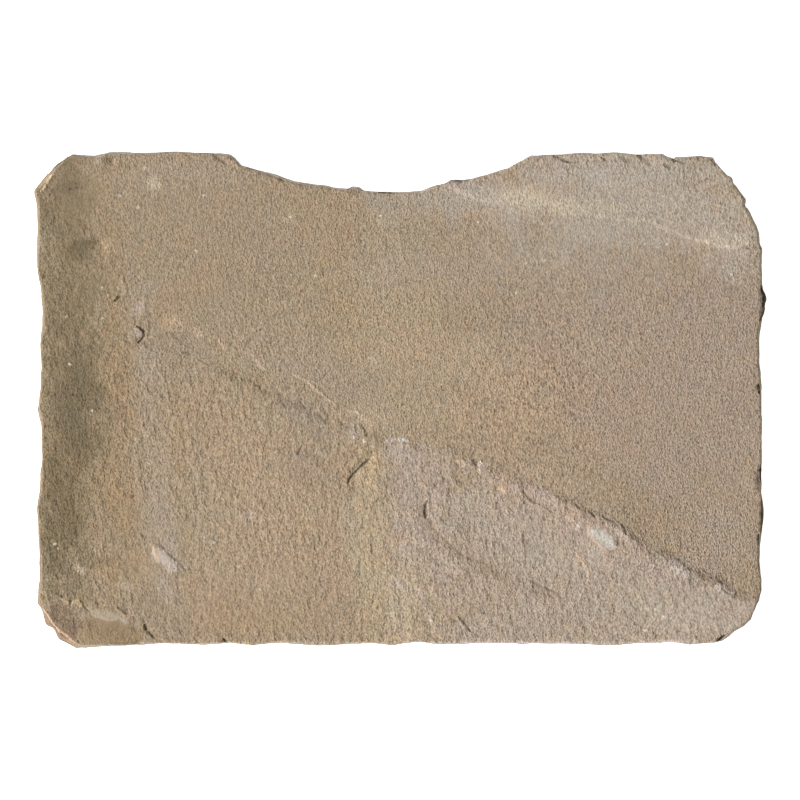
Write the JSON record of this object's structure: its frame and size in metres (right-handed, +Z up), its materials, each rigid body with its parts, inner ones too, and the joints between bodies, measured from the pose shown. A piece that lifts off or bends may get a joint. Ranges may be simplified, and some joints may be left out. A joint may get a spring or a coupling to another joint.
{
  "type": "sandstone flagstone paver",
  "caption": "Large riven sandstone flagstone with hand-trimmed edges, broken corners and a shallow curved bay in one long edge.",
  "frame": {"origin": "on the flat underside, in the middle of the overall length and width", "axes": "+X along the length, +Y towards the long edge with the curved bay, +Z up out of the walking face"},
  "size_m": [0.9, 0.61, 0.0398],
  "materials": {
    "sandstone": "riven, gritty, matte"
  },
  "bodies": {
    "root": {"flagstone": "sandstone"}
  },
  "joints": []
}
